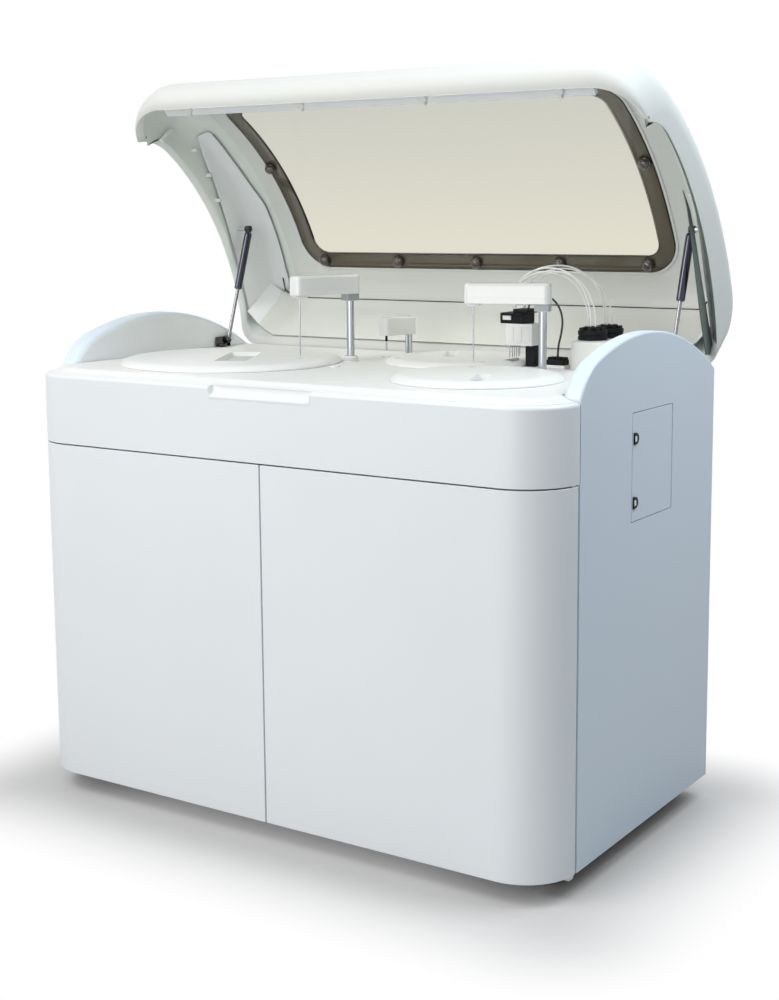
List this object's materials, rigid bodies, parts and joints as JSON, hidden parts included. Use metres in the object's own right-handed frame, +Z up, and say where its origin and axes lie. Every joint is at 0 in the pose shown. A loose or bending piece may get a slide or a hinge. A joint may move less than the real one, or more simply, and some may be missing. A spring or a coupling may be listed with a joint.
{
  "type": "chemistry analyzer",
  "caption": "Floor-standing chemistry analyzer: cabinet with wrap-round doors, a deck with disc covers and pipetting arms, and a domed windowed lid on gas struts.",
  "frame": {"origin": "on the floor, under the middle of the object with its lid open", "axes": "+X to the right as seen from the front, +Y to the back, +Z up"},
  "size_m": [1.243, 0.8616, 1.5046],
  "materials": {
    "front_panel_white": "satin white paint, slightly cool",
    "side_panel_white": "satin white paint",
    "lid_white": "smooth moulded white",
    "deck_white": "smooth moulded white",
    "cover_white": "satin white",
    "arm_white": "fine matt white",
    "liner_grey": "matt pale grey",
    "smoked_acrylic": "clear smoked acrylic",
    "black_plastic": "matt black",
    "frame_steel": "grey powder coat",
    "zinc_steel": "zinc plated",
    "bright_steel": "ground and polished",
    "strut_black": "gloss black paint",
    "disc_plastic": "moulded",
    "pot_grey": "moulded grey",
    "cuvette_clear": "clear moulded",
    "motor_black": "anodised",
    "carriage_alloy": "machined",
    "tube_white": "translucent white",
    "cable_black": "matt black jacket",
    "tank_plastic": "milky polyethylene",
    "foot_rubber": "black rubber"
  },
  "bodies": {
    "root": {"base_frame": "frame_steel", "levelling_feet": "foot_rubber", "left_side_panel": "side_panel_white", "right_side_panel": "side_panel_white", "rear_panel": "side_panel_white", "front_fascia": "front_panel_white", "work_deck": "deck_white", "raised_housing": "deck_white", "tube_manifolds": "black_plastic", "door_pivots": "zinc_steel", "power_supply": "zinc_steel", "rear_ports": "black_plastic", "fluid_tanks": "tank_plastic", "syringe_block": "pot_grey", "reagent_pot": "pot_grey", "sample_pot": "pot_grey", "reaction_pot": "pot_grey", "disc_motors": "motor_black", "lift_columns": "bright_steel", "wash_wells": "deck_white", "lid_brackets": "zinc_steel", "photometer": "motor_black", "wash_tubes": "tube_white", "wash_cable": "cable_black"},
    "left_door": {"left_door": "front_panel_white"},
    "right_door": {"right_door": "front_panel_white"},
    "hatch": {"hatch_door": "side_panel_white", "hatch_catches": "black_plastic"},
    "power_rocker": {"power_rocker": "black_plastic"},
    "reagent_plunger": {"reagent_plunger": "bright_steel"},
    "sample_plunger": {"sample_plunger": "bright_steel"},
    "reagent_carousel": {"reagent_tray": "disc_plastic"},
    "sample_carousel": {"sample_tray": "disc_plastic"},
    "reaction_disc": {"reaction_rotor": "motor_black", "cuvette_ring": "cuvette_clear"},
    "reagent_cover": {"reagent_cover": "cover_white"},
    "sample_cover": {"sample_cover": "cover_white"},
    "reaction_cover": {"reaction_cover": "cover_white"},
    "reagent_lift": {"reagent_carriage": "carriage_alloy"},
    "reagent_arm": {"reagent_arm": "arm_white", "reagent_arm_shaft": "bright_steel", "reagent_probe": "bright_steel"},
    "sample_lift": {"sample_carriage": "carriage_alloy"},
    "sample_arm": {"sample_arm": "arm_white", "sample_arm_shaft": "bright_steel", "sample_probe": "bright_steel"},
    "mixer_lift": {"mixer_carriage": "carriage_alloy"},
    "mixer_arm": {"mixer_arm": "arm_white"},
    "mixer_paddle": {"mixer_paddle": "bright_steel"},
    "wash_station": {"wash_head": "arm_white", "wash_bracket": "black_plastic", "wash_needles": "bright_steel"},
    "lid": {"hood_shell": "lid_white", "hood_window": "smoked_acrylic", "window_knobs": "black_plastic", "light_bar": "liner_grey", "hood_liners": "liner_grey", "hood_fittings": "zinc_steel"},
    "strut_rods": {"strut_rods": "bright_steel"},
    "strut_cylinders": {"strut_cylinders": "strut_black"}
  },
  "joints": [
    {"name": "lid_hinge", "type": "hinge", "parent": "root", "child": "lid", "pos_m": [0, 0.269, 0.883], "axis": [-1, 0, 0], "range_deg": [-54.6, 0]},
    {"name": "left_door_hinge", "type": "hinge", "parent": "root", "child": "left_door", "pos_m": [-0.612, -0.332, 0.398], "axis": [0, 0, -1], "range_deg": [0, 100]},
    {"name": "right_door_hinge", "type": "hinge", "parent": "root", "child": "right_door", "pos_m": [0.612, -0.332, 0.398], "axis": [0, 0, 1], "range_deg": [0, 100]},
    {"name": "hatch_hinge", "type": "hinge", "parent": "root", "child": "hatch", "pos_m": [0.617, 0.066, 0.752], "axis": [0, 0, 1], "range_deg": [0, 110]},
    {"name": "power_rocker_tilt", "type": "hinge", "parent": "root", "child": "power_rocker", "pos_m": [0.452, 0.2775, 0.168], "axis": [1, 0, 0], "range_deg": [-8, 8]},
    {"name": "reagent_plunger_slide", "type": "slide", "parent": "root", "child": "reagent_plunger", "axis": [0, 0, 1], "range_m": [-0.06, 0]},
    {"name": "sample_plunger_slide", "type": "slide", "parent": "root", "child": "sample_plunger", "axis": [0, 0, 1], "range_m": [-0.06, 0]},
    {"name": "reagent_spin", "type": "hinge", "parent": "root", "child": "reagent_carousel", "pos_m": [-0.306, -0.131, 0.845], "axis": [0, 0, 1], "continuous": true},
    {"name": "sample_spin", "type": "hinge", "parent": "root", "child": "sample_carousel", "pos_m": [0.33, -0.181, 0.845], "axis": [0, 0, 1], "continuous": true},
    {"name": "reaction_spin", "type": "hinge", "parent": "root", "child": "reaction_disc", "pos_m": [0.125, 0.097, 0.845], "axis": [0, 0, 1], "continuous": true},
    {"name": "reagent_cover_lift", "type": "slide", "parent": "root", "child": "reagent_cover", "axis": [0, 0, 1], "range_m": [0, 0.06]},
    {"name": "sample_cover_lift", "type": "slide", "parent": "root", "child": "sample_cover", "axis": [0, 0, 1], "range_m": [0, 0.06]},
    {"name": "reaction_cover_lift", "type": "slide", "parent": "root", "child": "reaction_cover", "axis": [0, 0, 1], "range_m": [0, 0.028]},
    {"name": "reagent_arm_lift", "type": "slide", "parent": "root", "child": "reagent_lift", "axis": [0, 0, 1], "range_m": [-0.06, 0]},
    {"name": "reagent_arm_turn", "type": "hinge", "parent": "reagent_lift", "child": "reagent_arm", "pos_m": [-0.094, 0.009, 1.045], "axis": [0, 0, 1], "range_deg": [0, 110.8]},
    {"name": "sample_arm_lift", "type": "slide", "parent": "root", "child": "sample_lift", "axis": [0, 0, 1], "range_m": [-0.06, 0]},
    {"name": "sample_arm_turn", "type": "hinge", "parent": "sample_lift", "child": "sample_arm", "pos_m": [0.368, 0.009, 1.045], "axis": [0, 0, 1], "range_deg": [-18.81, 23.48]},
    {"name": "mixer_lift", "type": "slide", "parent": "root", "child": "mixer_lift", "axis": [0, 0, 1], "range_m": [-0.028, 0]},
    {"name": "mixer_turn", "type": "hinge", "parent": "mixer_lift", "child": "mixer_arm", "pos_m": [-0.05, 0.169, 0.975], "axis": [0, 0, 1], "range_deg": [0, 63.12]},
    {"name": "mixer_spin", "type": "hinge", "parent": "mixer_arm", "child": "mixer_paddle", "pos_m": [-0.06905, 0.10895, 0.945], "axis": [0, 0, 1], "continuous": true},
    {"name": "wash_lift", "type": "slide", "parent": "root", "child": "wash_station", "axis": [0, 0, 1], "range_m": [-0.026, 0]},
    {"name": "strut_swing", "type": "hinge", "parent": "root", "child": "strut_rods", "pos_m": [0, 0.177, 0.922], "axis": [-1, 0, 0], "range_deg": [-68.55, 0]},
    {"name": "strut_stroke", "type": "slide", "parent": "strut_rods", "child": "strut_cylinders", "axis": [0, 0.318, 0.9481], "range_m": [-0.0725, 0]}
  ],
  "couplings": [
    {"joint": "strut_swing", "follows": "lid_hinge", "ratio": 1.2517},
    {"joint": "strut_stroke", "follows": "lid_hinge", "m_per_rad": 0.075716}
  ]
}
